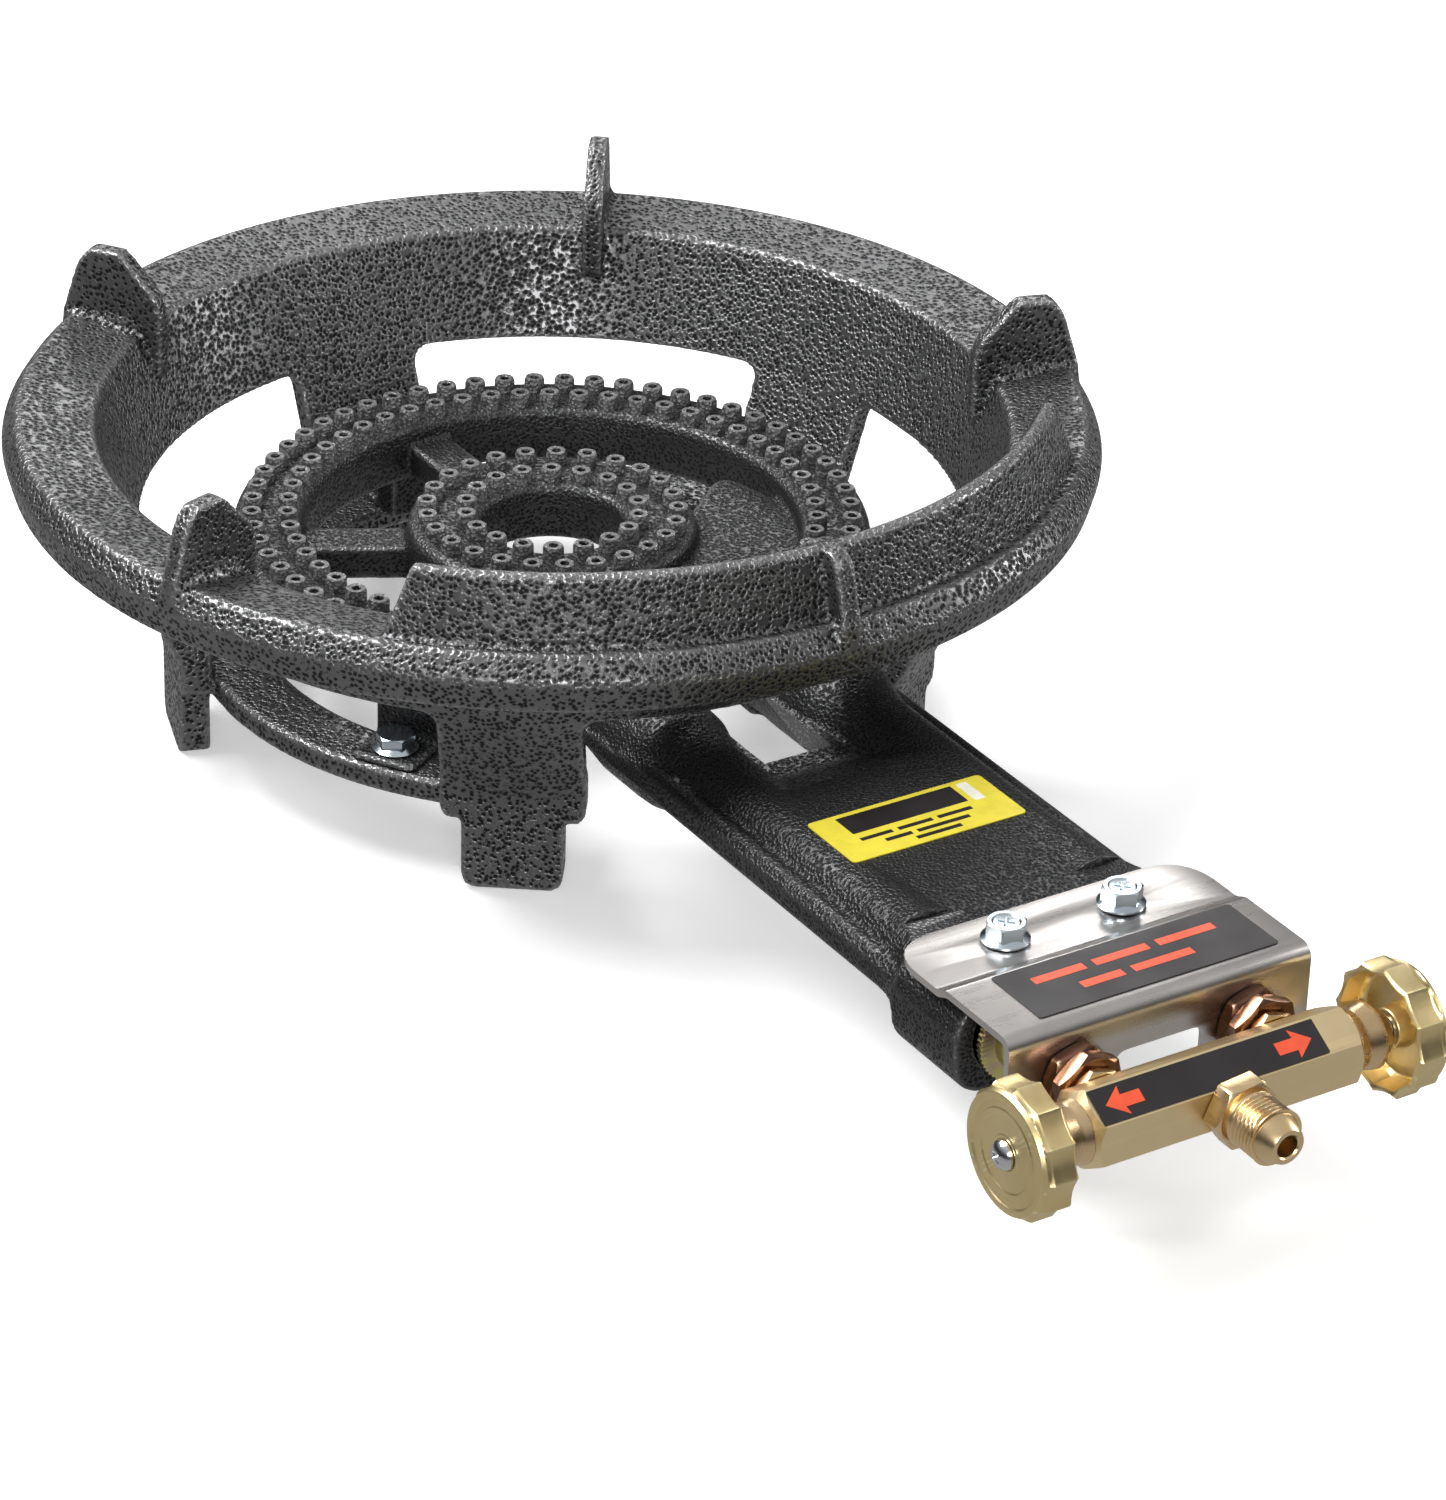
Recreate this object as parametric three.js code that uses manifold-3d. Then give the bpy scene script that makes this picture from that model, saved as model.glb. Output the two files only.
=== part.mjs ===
// Propane burner stand: a cast-iron pot stand holding a double-ring burner with its valve manifold.
// Millimetres, +Z up, feet on z = 0. The burner's arm runs along -Y, the manifold along X.
// It is drawn about the burner's axis, from a datum under the feet. The last line moves the origin to the
// middle of the floor area that the part covers.
import * as THREE from "three";
import { mergeVertices } from "three/addons/utils/BufferGeometryUtils.js";
import Module from "manifold-3d";

const wasm = await Module();
wasm.setup();

// Driving dimensions
const GAP = 0.3; // clearance between neighbouring pieces
const FEET_Z = 3.8; // underside of the feet above the drawing's datum
const ORIGIN_Y = -99.75; // middle of the floor area, from the burner's axis
const RIM_R = 160; // widest radius of the stand's rim
const RIM_Z = 101.4; // crest of the rim
const WALL = 6.5; // wall of the stand's bowl
const SUPPORTS = 5; // pot supports, one every 72 degrees, one of them over the arm
const SUPPORT_T = 5.6; // thickness of a pot support
const LEG_HALF = 20.3; // half width of a leg where it joins the bowl
const SHIELD_Z = 120.4; // top of the windshield
const FLOOR_RING_Z = 31.2; // top of the stand's lower ring
const WINDOW_TOP = 66; // head of the five openings under the rim
const BOLT_R = 95.5; // circle of the three bolts that hold the burner
const BOLT_ANGLES = [90, -32, -148];
const LUG_Z = 33.4; // top of the burner's thin feet, where the bolts bear
const RING_TOP = 64; // crown of both burner rings
const PORT_H = 4.2; // height of a flame port above its ring
const TUBE_X = 27.5; // half spacing of the two mixer tubes
const AXIS_Z = 47.8; // height of the mixer tubes, outlets and manifold
const MOUTH_Y = -279.5; // air mouths of the mixer tubes
const SEAT_Z = 59.5; // top of the arm, where the bracket sits
const FLANGE_Y = -303; // rear face of the bracket's flange
const SHEET = 2; // bracket sheet
const SCREW = [18.4, -261]; // bracket screws, half spacing and y
const NUT_AF = 18.5; // outlet nuts across flats
const BAR_Y = -327; // axis of the manifold
const BAR_AF = 20; // manifold hexagon across flats
const BAR_END = 42; // half length of the manifold
const KNOB_X = 64; // outer face of a knob

const rad = (deg) => (deg * Math.PI) / 180;
const polar = (r, deg) => [r * Math.cos(rad(deg)), r * Math.sin(rad(deg))];
const move = (x, y, z) => new THREE.Matrix4().makeTranslation(x, y, z);
const turnX = (deg) => new THREE.Matrix4().makeRotationX(rad(deg));
const turnY = (deg) => new THREE.Matrix4().makeRotationY(rad(deg));
const turnZ = (deg) => new THREE.Matrix4().makeRotationZ(rad(deg));
// Carries a profile drawn as [y, z] and pulled along Z into the YZ plane, pulled along X.
const ALONG_X = new THREE.Matrix4().set(0, 0, 1, 0, 1, 0, 0, 0, 0, 1, 0, 0, 0, 0, 0, 1);

// A closed three.js geometry as a manifold-3d solid, after any number of matrices.
function solid(geometry, ...matrices) {
  let g = geometry.index ? geometry.toNonIndexed() : geometry.clone();
  matrices.forEach((m) => g.applyMatrix4(m));
  g.deleteAttribute("normal");
  g.deleteAttribute("uv");
  g = mergeVertices(g, 1e-4);
  return new wasm.Manifold(
    new wasm.Mesh({
      numProp: 3,
      vertProperties: new Float32Array(g.attributes.position.array),
      triVerts: new Uint32Array(g.index.array),
    }),
  );
}

const box = (x0, x1, y0, y1, z0, z1) =>
  solid(new THREE.BoxGeometry(x1 - x0, y1 - y0, z1 - z0), move((x0 + x1) / 2, (y0 + y1) / 2, (z0 + z1) / 2));

// Closed profile of [radius, height] points turned about Z; a profile touching the axis is solid.
function turned(profile, segments, ...matrices) {
  const pts = profile.map(([r, z]) => new THREE.Vector2(r, z));
  const onAxis = profile[0][0] === 0 && profile[profile.length - 1][0] === 0;
  if (!onAxis) pts.push(pts[0].clone());
  return solid(new THREE.LatheGeometry(pts, segments), turnX(90), ...matrices);
}

// The same profile turned about an axis along -Y or along +X, with heights measured that way.
const turnedY = (profile, segments, x, z) => turned(profile, segments, turnX(90), move(x, 0, z));
const turnedX = (profile, segments, side) =>
  turned(profile, segments, turnY(90 * side), move(0, BAR_Y, AXIS_Z));

const rod = (r, z0, z1) => [[0, z0], [r, z0], [r, z1], [0, z1]];
const tube = (ri, ro, z0, z1) => [[ri, z0], [ro, z0], [ro, z1], [ri, z1]];

// Polygon of [x, y] points pulled up along Z from z0 to z1.
function prism(points, z0, z1, ...matrices) {
  const shape = new THREE.Shape(points.map(([x, y]) => new THREE.Vector2(x, y)));
  return solid(
    new THREE.ExtrudeGeometry(shape, { depth: z1 - z0, bevelEnabled: false }),
    move(0, 0, z0),
    ...matrices,
  );
}

const hexagon = (af, turn = 0) =>
  [0, 1, 2, 3, 4, 5].map((k) => polar(af / 2 / Math.cos(rad(30)), 60 * k + turn));

// Rounded rectangle as polygon points, radius r, n points in each corner.
function rounded(x0, x1, y0, y1, r, n) {
  const corners = [[x1 - r, y1 - r, 0], [x0 + r, y1 - r, 90], [x0 + r, y0 + r, 180], [x1 - r, y0 + r, 270]];
  return corners.flatMap(([cx, cy, a]) =>
    Array.from({ length: n }, (_, i) => {
      const [dx, dy] = polar(r, a + (90 * i) / (n - 1));
      return [cx + dx, cy + dy];
    }),
  );
}

// Side profile in the radial plane ([radius, height]) as a plate of thickness t at a given angle.
const fin = (points, t, deg) => prism(points, -t / 2, t / 2, turnX(90), turnZ(deg));

const union = (parts) => parts.reduce((a, b) => a.add(b));
const cut = (body, tools) => tools.reduce((a, b) => a.subtract(b), body);

// ---------------------------------------------------------------- stand
// Plan of the opening between two legs: a wedge whose sides run parallel to the legs' centre lines.
function openingPlan(angle, half) {
  const apex = half / Math.sin(rad(180 / SUPPORTS));
  const side = (sign) => polar(150, sign * (180 / SUPPORTS)).map((v, i) => v + (i ? 0 : apex));
  return [[apex, 0], side(-1), [240, 0], side(1)].map(([x, y]) => {
    const [c, s] = polar(1, angle);
    return [x * c - y * s, x * s + y * c];
  });
}

function standCasting() {
  const bowl = turned(
    [
      [107, FLOOR_RING_Z - 4], [113.5, FLOOR_RING_Z - 4], [113.5, 33], [120.75 + WALL, 64], [137.5, 91.2],
      [152.3, 93.4], [151.4, 84.8], [157.2, 84.8], [RIM_R, 94.4], [155.1, RIM_Z], [133.3, 97.9],
      [120.75, WINDOW_TOP], [107, 33],
    ],
    50,
  );
  const step = 360 / SUPPORTS;
  const supportAngles = Array.from({ length: SUPPORTS }, (_, k) => -90 + step * k);
  const windows = supportAngles.flatMap((a) => [
    prism(openingPlan(a, LEG_HALF), FLOOR_RING_Z, WINDOW_TOP - 3.5),
    prism(openingPlan(a, LEG_HALF + 3), WINDOW_TOP - 4, WINDOW_TOP),
  ]);
  const skirt = supportAngles.map((a) => prism(openingPlan(a, LEG_HALF), 20, FLOOR_RING_Z + 0.1));
  // the lower ring stops at the two legs beside the arm
  const floorRing = turned(tube(86, 105.5, 24.5, FLOOR_RING_Z), 50)
    .subtract(prism(openingPlan(-90, LEG_HALF - 6), 20, 40));
  const legs = supportAngles.map((a) => {
    const foot = prism(rounded(-14.2, 14.2, FEET_Z, 34, 4, 3), -113.5, -104.8, turnX(90));
    const shoulder = prism(rounded(-LEG_HALF, LEG_HALF, 26, 40, 3.5, 3), -113.5, -104.8, turnX(90));
    return solidTurned(foot.add(shoulder), a + step / 2 - 90);
  });
  const finShape = [[159.6, 94], [158.6, 101], [153.2, 118.6], [151.4, 121.4], [148.6, 122.8], [140.2, 122.8],
    [137.4, 121.6], [127.6, 110], [126.6, 107], [126.4, 84], [136, 92], [152, 94]];
  const lowFin = finShape.map(([r, z]) => [r, z > 119 ? SHIELD_Z - (r < 138 ? 1 : 0) : z]);
  const fins = supportAngles.map((a, k) => fin(k ? finShape : lowFin, SUPPORT_T, a));
  const shieldWall = turned(
    [[132.6, 96], [151, 99.6], [151.2, 103.4], [146.4, SHIELD_Z], [143.4, SHIELD_Z], [141.8, 117],
      [133.4, 98.6]],
    50,
  );
  const sector = prism([[0, 0], polar(300, -138.2), polar(420, -90), polar(300, -41.8)], 90, 130);
  // the windshield's ends lean in towards its top edge
  const bevels = [-48.2, 48.2].map((a) =>
    prism([[0, 0], [-40, 0], [-40, 30], [9.5, 30]], -40, 40, turnX(90), turnZ(a > 0 ? 180 : 0),
      move(0, -142, 101.4), turnZ(a)));
  const shield = cut(shieldWall.intersect(sector), bevels);
  const holes = BOLT_ANGLES.map((a) => turned(rod(3.3, 20, 40), 12, move(...polar(BOLT_R, a), 0)));
  return cut(union([cut(bowl, [...windows, ...skirt]), floorRing, ...legs, ...fins, shield]), holes);
}

// A finished manifold-3d solid turned about Z.
function solidTurned(body, deg) {
  return solid(geometryOf(body), turnZ(deg));
}

// ---------------------------------------------------------------- burner
// Outside radius and bore of a mixer tube along its length, from the mouth to the rings.
const TUBE_STATIONS = [
  // [y, outside radius, bore radius]
  [MOUTH_Y, 17, 12.8], [-256, 17, 10.8], [-238, 13.4, 9.6], [-205, 11.6, 8.2], [-165, 11.6, 8.2],
  [-128, 12, 8.8], [-119, 15.4, 10.2], [-96, 15.4, 10.6],
];

function burnerRing(inner, outer, channel) {
  const [ci, co, floor, roof] = channel;
  return [
    turned(tube(inner, outer, 47, RING_TOP), 40),
    turned(tube(ci, co, floor, roof), 20),
  ];
}

function ports(radius, count, offset) {
  return Array.from({ length: count }, (_, k) =>
    turned(rod(3.1, RING_TOP - 1, RING_TOP + PORT_H), 5,
      move(...polar(radius, offset + (360 * k) / count), 0)));
}

function burnerCasting() {
  const [outerRing, outerChannel] = burnerRing(73, 94, [77.5, 88.5, 52, 60]);
  const [innerRing, innerChannel] = burnerRing(20.7, 42.6, [25.5, 38, 51, 59.5]);
  const nipples = [...ports(77.6, 54, 0), ...ports(88, 60, 3), ...ports(25.6, 18, 0), ...ports(37, 25, 0)];
  const sides = [-1, 1];
  const tubes = sides.map((s) => {
    const outline = TUBE_STATIONS.map(([y, r]) => [r, -y]).reverse();
    const reach = s < 0 ? 80 : 66;
    return turnedY([[0, reach], [s < 0 ? 14 : 13, reach], ...outline, [0, -MOUTH_Y]], 20, s * TUBE_X, AXIS_Z);
  });
  const bores = sides.map((s) => {
    const outline = TUBE_STATIONS.map(([y, , b]) => [b, -y]).reverse();
    const reach = s < 0 ? 82 : 60;
    const end = s < 0 ? 9 : 6;
    return turnedY([[0, reach], [end, reach], ...outline, [13, -MOUTH_Y + 2], [0, -MOUTH_Y + 2]], 16,
      s * TUBE_X, AXIS_Z);
  });
  // the inner ring's feed passes under the outer ring
  const feed = prism([[12.5, -92], [42.5, -92], [73, -20], [66, 12], [42, -8], [30, -20], [14, -32]], 38, 58);
  const feedBore = prism([[21.5, -66], [33.5, -66], [33.5, -31], [21.5, -20]], 42, 54);
  const rise = box(-32, -23, -86, -78, 46, 56);
  const strut = (deg, z0, z1) => box(38, 78, -7, 7, z0, z1);
  const struts = [152, 90, -150].map((a) => solidTurned(strut(a, 48, 58), a));
  // web between the tubes, with the rectangular hole near the rings and a ramp up to the bracket seat
  const web = prism([[-88, 43], [-136, 43], [-150, 44], [MOUTH_Y + 1, 44], [MOUTH_Y + 1, SEAT_Z],
    [-162, SEAT_Z], [-138, 48], [-88, 48]], -27, 27, ALONG_X);
  const lips = prism([[-44, -84], [-44, -244], [-45.5, -250], [-45.5, MOUTH_Y], [45.5, MOUTH_Y], [45.5, -250],
    [44, -244], [44, -84]], 44.6, 49.6);
  const beads = sides.map((s) =>
    prism([[-44, 45], [-36, 45], [-36, 50.4], [-38.4, 53.2], [-41.6, 53.2], [-44, 50.8]]
      .map(([x, z]) => [s * x, z]), 112, 250, turnX(90)));
  const boss = prism(rounded(-45.5, 45.5, 31, SEAT_Z, 13, 5), 251, -MOUTH_Y, turnX(90));
  const lugs = BOLT_ANGLES.map((a) =>
    solidTurned(box(78, 88.3, -10, 10, FLOOR_RING_Z + GAP, 49)
      .add(box(82, 104, -10, 10, FLOOR_RING_Z + GAP, LUG_Z)), a));
  const hole = box(-10.8, 10.8, -134, -89.5, 30, 70);
  const seat = box(-60, 60, MOUTH_Y - 5, -236, SEAT_Z, 80);
  const screwHoles = sides.map((s) => turned(rod(3.3, 50, 70), 12, move(s * SCREW[0], SCREW[1], 0)));
  const boltHoles = BOLT_ANGLES.map((a) => turned(rod(3.3, 25, 43), 12, move(...polar(BOLT_R, a), 0)));
  const underRing = turned(tube(80, 108, 20, FLOOR_RING_Z + GAP), 24);
  const centre = turned(rod(20.7, 20, 80), 40);
  const whole = union([outerRing, innerRing, ...nipples, ...tubes, feed, ...struts, web, lips, ...beads, boss,
    ...lugs]);
  return cut(whole, [
    outerChannel, innerChannel, feedBore, rise, ...bores, hole, seat, ...screwHoles, ...boltHoles,
    underRing, centre,
  ]);
}

// ---------------------------------------------------------------- fasteners
function standBolt(deg) {
  const seat = LUG_Z + GAP;
  const at = move(...polar(BOLT_R, deg), 0);
  const head = prism(hexagon(10), seat + 1, seat + 4.6, at);
  const flange = turned([[0, seat], [6.6, seat], [5, seat + 1.4], [0, seat + 1.4]], 16, at);
  const shank = turned(rod(3, 24.8, seat + 1), 10, at);
  return union([head, flange, shank]);
}

function bracketScrew(side) {
  const seat = SEAT_Z + GAP + SHEET + GAP;
  const at = move(side * SCREW[0], SCREW[1], 0);
  const flange = turned([[0, seat], [6.6, seat], [6.6, seat + 0.8], [5.2, seat + 1.8], [0, seat + 1.8]], 18,
    at);
  const head = prism(hexagon(10, 12), seat + 1, seat + 5.6, at);
  const shank = turned(rod(2.9, 52, seat + 1), 12, at);
  const recess = [45, 135].map((a) =>
    prism([[-2.4, -0.55], [2.4, -0.55], [2.4, 0.55], [-2.4, 0.55]], seat + 3, seat + 9, turnZ(a), at));
  return cut(union([flange, head, shank]), recess);
}

// ---------------------------------------------------------------- bracket
function bracket() {
  const low = SEAT_Z + GAP; // underside over the arm
  const high = low + 1.7; // underside of the raised front half
  const out = FLANGE_Y - SHEET;
  const r = 4;
  const bend = (radius) => [0, 1, 2, 3, 4].map((i) => {
    const [dy, dz] = polar(radius, 90 + (90 * i) / 4);
    return [out + r + dy, high + SHEET - r + dz];
  });
  const side = [
    [-240, low], [-240, low + SHEET], [-273, low + SHEET], [-276, high + SHEET], ...bend(r),
    [out, 30], [FLANGE_Y, 30], ...bend(r - SHEET).reverse(), [-276.6, high], [-273.6, low],
  ];
  const sheet = prism(side, -47.5, 47.5, ALONG_X);
  const plan = prism(
    [[47.5, -262], [46, -255.5], [41.5, -250.4], [34, -248.5], [-34, -248.5], [-41.5, -250.4],
      [-46, -255.5], [-47.5, -262], [-47.5, -310], [47.5, -310]], 20, 80);
  const front = prism(
    [[-47.5, 70], [-47.5, 39.5], [-43, 34], [-36, 31.5], [-22, 31.5], [-16, 35], [-14, 40], [-14, 47.5],
      [-11.5, 50], [11.5, 50], [14, 47.5], [14, 40], [16, 35], [22, 31.5], [36, 31.5], [43, 34], [47.5, 39.5],
      [47.5, 70]].reverse(), 230, 320, turnX(90));
  const holes = [-1, 1].flatMap((s) => [
    turnedY(rod(6.4, 295, 312), 20, s * TUBE_X, AXIS_Z),
    turned(rod(3.4, 55, 75), 14, move(s * SCREW[0], SCREW[1], 0)),
  ]);
  return cut(sheet.intersect(plan).intersect(front), holes);
}

// ---------------------------------------------------------------- outlets
const FRONT = -FLANGE_Y + SHEET; // distances below are measured along -Y

const lockNut = (side, from, to, turn) =>
  cut(prism(hexagon(NUT_AF, turn), from, to, turnX(90), move(side * TUBE_X, 0, AXIS_Z)),
    [turnedY(rod(6.3, from - 5, to + 5), 14, side * TUBE_X, AXIS_Z)]);

function injector(side) {
  const bar = -BAR_Y - BAR_AF / 2;
  return turnedY(
    [[2.2, 277.6], [6, 277.6], [6, bar - 2.6], [7.6, bar - 2.6], [7.6, bar - GAP], [5, bar - GAP],
      [5, bar + 5.4], [3, bar + 5.4]],
    14, side * TUBE_X, AXIS_Z);
}

const jet = (side) =>
  turnedY([[0.7, 274.4], [3, 274.4], [3.8, 275.4], [3.8, 277.3], [1.9, 277.3], [1.9, 283], [0.7, 283]], 10,
    side * TUBE_X, AXIS_Z);

function shutter(side) {
  const rim = 18;
  const points = Array.from({ length: rim * 2 }, (_, k) => polar(k % 2 ? 12.8 : 13.3, (180 * k) / rim));
  const disc = prism(points, 281.4, 283.6, turnX(90), move(side * TUBE_X, 0, AXIS_Z));
  const hub = turnedY(rod(9, 283, 287.6), 14, side * TUBE_X, AXIS_Z);
  return cut(disc.add(hub), [turnedY(rod(6.3, 270, 300), 14, side * TUBE_X, AXIS_Z)]);
}

// ---------------------------------------------------------------- manifold and valves
function manifoldBar() {
  const bar = prism(hexagon(BAR_AF), -BAR_END, BAR_END, turnY(90), move(0, BAR_Y, AXIS_Z));
  const ends = turnedX([[0, -BAR_END], [8.9, -BAR_END], [12.4, -BAR_END + 3], [12.4, BAR_END - 3],
    [8.9, BAR_END], [0, BAR_END]], 24, 1);
  const gallery = turnedX(rod(2.4, -60, 60), 8, 1);
  const chambers = [-1, 1].map((s) => turnedX(rod(4.6, 21, 60), 10, s));
  const sockets = [-1, 1].map((s) => turnedX(rod(7.4, 36, 60), 16, s));
  const outlets = [-1, 1].map((s) => turnedY(rod(5.3, 300, 323), 12, s * TUBE_X, AXIS_Z));
  const inlet = turnedY(rod(6.4, 329, 345), 16, 0, AXIS_Z);
  return cut(bar.intersect(ends), [gallery, ...chambers, ...sockets, ...outlets, inlet]);
}

function inletFitting() {
  const face = -BAR_Y + BAR_AF / 2 + GAP;
  const hex = prism(hexagon(17.5, 6), face, face + 6.2, turnX(90), move(0, 0, AXIS_Z));
  const dome = turnedY([[0, face], [10.4, face], [10.4, face + 4.6], [8.2, face + 6.2], [0, face + 6.2]], 18,
    0, AXIS_Z);
  const body = turnedY(
    [[0, 330], [6.1, 330], [6.1, face + 1], [7, face + 1], [7, face + 8], [7.94, face + 8.8],
      [7.94, face + 16.8], [7.0, face + 17.6], [4.9, 359.5], [0, 359.5]],
    20, 0, AXIS_Z);
  return cut(hex.intersect(dome).add(body), [turnedY(rod(3.1, 320, 370), 12, 0, AXIS_Z)]);
}

const bonnet = (side) =>
  turnedX([[3.4, 40.6], [5.4, 40.6], [5.4, 36.4], [7.1, 36.4], [7.1, BAR_END + GAP], [8.9, BAR_END + GAP],
    [8.3, 44.6], [9.2, 48.4], [9.2, 50], [6.7, 50.4], [6.3, 53.6], [3.4, 53.6]], 16, side);

const packing = (side) => turnedX(tube(3.3, 5.1, 36.7, 40.3), 14, side);

const stem = (side) =>
  turnedX([[0, 19.4], [0.8, 19.4], [2.1, 23.2], [2.1, 30], [3, 31], [3, 60.6], [1.9, 60.6], [1.9, 55.4],
    [0, 55.4]], 14, side);

function knob(side) {
  const ridges = 12;
  const ring = Array.from({ length: ridges }, (_, k) => [0, 10, 20].map((d) =>
    polar(d ? 17.3 : 18.4, (360 * k) / ridges + d))).flat();
  const skirt = prism(ring, 53.2, 62, turnY(90 * side), move(0, BAR_Y, AXIS_Z));
  const cap = turnedX([[0, 61], [17, 61], [17, 62.6], [16, KNOB_X - 0.4], [14.4, KNOB_X - 0.4],
    [13.6, KNOB_X - 0.9], [0, KNOB_X - 0.9]], 24, side);
  const hollow = turnedX([[0, 50], [15.4, 50], [15.4, 59], [14, 60.6], [0, 60.6]], 20, side);
  const hub = turnedX(rod(5.4, 56, 63), 12, side);
  const bore = turnedX([[0, 50], [3.3, 50], [3.3, 61], [2.3, 61], [2.3, 70], [0, 70]], 18, side);
  return cut(cut(skirt.add(cap), [hollow]).add(hub), [bore]);
}

function knobScrew(side) {
  const seat = KNOB_X - 0.9 + GAP;
  const head = turnedX([[0, seat], [4.1, seat], [4.1, seat + 0.9], [3.1, seat + 2.3], [1.4, seat + 2.9],
    [0, seat + 3]], 20, side);
  const shank = turnedX(rod(1.6, 56, seat + 1), 12, side);
  const slots = [0, 90].map((a) =>
    prism([[-1.9, -0.45], [1.9, -0.45], [1.9, 0.45], [-1.9, 0.45]], seat + 1.7, seat + 5, turnZ(a + 20),
      turnY(90 * side), move(0, BAR_Y, AXIS_Z)));
  return cut(head.add(shank), slots);
}

// ---------------------------------------------------------------- labels
const cautionLabel = () => prism(rounded(-29, 27, -206, -182.5, 1.2, 3), SEAT_Z + 0.1, SEAT_Z + 0.4);
const bracketLabel = () => prism(rounded(-34.5, 41, -299.6, -277.2, 1, 3), SEAT_Z + 4.1, SEAT_Z + 4.4);
const manifoldLabel = () =>
  prism([[-40, -4.9], [30, -4.9], [30, 4.7], [-40, 4.7]], BAR_AF / 2 + 0.05, BAR_AF / 2 + 0.35, turnX(30),
    move(0, BAR_Y, AXIS_Z));

// ---------------------------------------------------------------- assembly
function geometryOf(body) {
  const m = body.getMesh();
  const g = new THREE.BufferGeometry();
  const flat = new Float32Array(m.triVerts.length * 3);
  for (let i = 0; i < m.triVerts.length; i++) {
    for (let k = 0; k < 3; k++) flat[3 * i + k] = m.vertProperties[m.triVerts[i] * m.numProp + k];
  }
  g.setAttribute("position", new THREE.BufferAttribute(flat, 3));
  g.computeVertexNormals();
  return g;
}

const paint = (color, metalness, roughness) => new THREE.MeshStandardMaterial({ color, metalness, roughness });
const MATERIALS = {
  standIron: paint(0x5a5a5c, 0.4, 0.5),
  burnerIron: paint(0x3a3a3c, 0.4, 0.6),
  stainless: paint(0xb9b4ae, 0.9, 0.3),
  zinc: paint(0xb4c0c8, 0.9, 0.3),
  yellowZinc: paint(0x9c8f3c, 0.8, 0.4),
  brass: paint(0xc9a866, 0.9, 0.3),
  knobBrass: paint(0xd0bd78, 0.9, 0.3),
  nutBrass: paint(0x8a5a30, 0.9, 0.35),
  steel: paint(0x9a9aa0, 0.9, 0.3),
  rubber: paint(0x151515, 0, 0.7),
  yellow: paint(0xe8d63a, 0, 0.5),
  black: paint(0x2a2829, 0, 0.5),
};

const group = new THREE.Group();
function add(name, body, material) {
  const mesh = new THREE.Mesh(geometryOf(body), MATERIALS[material]);
  mesh.name = name;
  group.add(mesh);
}

add("stand_casting", standCasting(), "standIron");
add("burner_casting", burnerCasting(), "burnerIron");
BOLT_ANGLES.forEach((a, i) => {
  add(`stand_bolt_${i + 1}`, standBolt(a), "zinc");
});
add("bracket", bracket(), "stainless");
add("manifold_bar", manifoldBar(), "brass");
add("inlet_fitting", inletFitting(), "brass");
for (const [name, side] of [["left", -1], ["right", 1]]) {
  add(`bracket_screw_${name}`, bracketScrew(side), "zinc");
  add(`injector_${name}`, injector(side), "brass");
  add(`orifice_jet_${name}`, jet(side), "brass");
  add(`air_shutter_${name}`, shutter(side), "yellowZinc");
  add(`rear_nut_${name}`, lockNut(side, -FLANGE_Y - GAP - 3.6, -FLANGE_Y - GAP, 0), "nutBrass");
  add(`front_nut_${name}`, lockNut(side, FRONT + GAP, FRONT + GAP + 4.2, 14), "nutBrass");
  add(`jam_nut_${name}`, lockNut(side, FRONT + 2 * GAP + 4.2, FRONT + 2 * GAP + 8.2, 38), "nutBrass");
  add(`bonnet_${name}`, bonnet(side), "brass");
  add(`stem_packing_${name}`, packing(side), "rubber");
  add(`valve_stem_${name}`, stem(side), "steel");
  add(`knob_${name}`, knob(side), "knobBrass");
  add(`knob_screw_${name}`, knobScrew(side), "steel");
}
add("caution_label", cautionLabel(), "yellow");
add("bracket_label", bracketLabel(), "black");
add("manifold_label", manifoldLabel(), "black");

group.position.set(0, -ORIGIN_Y, -FEET_Z);

export default group;
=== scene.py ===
"""Propane burner stand: the looks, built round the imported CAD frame.

Shapes are drawn in millimetres about the burner's axis, from the CAD drawing's datum, and FRAME carries them
into the frame: metres, with the origin in the middle of the floor area.
"""

import math

import bmesh
import bpy
from mathutils import Matrix, Vector


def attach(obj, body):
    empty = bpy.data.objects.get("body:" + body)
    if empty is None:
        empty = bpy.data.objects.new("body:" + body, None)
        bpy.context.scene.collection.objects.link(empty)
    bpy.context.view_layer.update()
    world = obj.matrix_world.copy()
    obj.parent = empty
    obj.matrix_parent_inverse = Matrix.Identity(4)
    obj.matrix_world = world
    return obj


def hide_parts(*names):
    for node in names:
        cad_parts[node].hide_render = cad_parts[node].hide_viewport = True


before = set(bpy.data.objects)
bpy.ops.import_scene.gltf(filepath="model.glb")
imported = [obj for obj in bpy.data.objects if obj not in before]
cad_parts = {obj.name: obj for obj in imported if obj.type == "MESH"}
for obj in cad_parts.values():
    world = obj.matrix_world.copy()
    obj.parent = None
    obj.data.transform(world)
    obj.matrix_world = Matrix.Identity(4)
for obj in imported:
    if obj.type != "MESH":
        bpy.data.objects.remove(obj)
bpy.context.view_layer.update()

MM = 0.001
ORIGIN_Y = -99.75  # the frame's origin in the drawing: the middle of the floor area
FEET_Z = 3.8  # the feet's height in the drawing
FRAME = Matrix.Scale(MM, 4) @ Matrix.Translation((0, -ORIGIN_Y, -FEET_Z))

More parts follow.
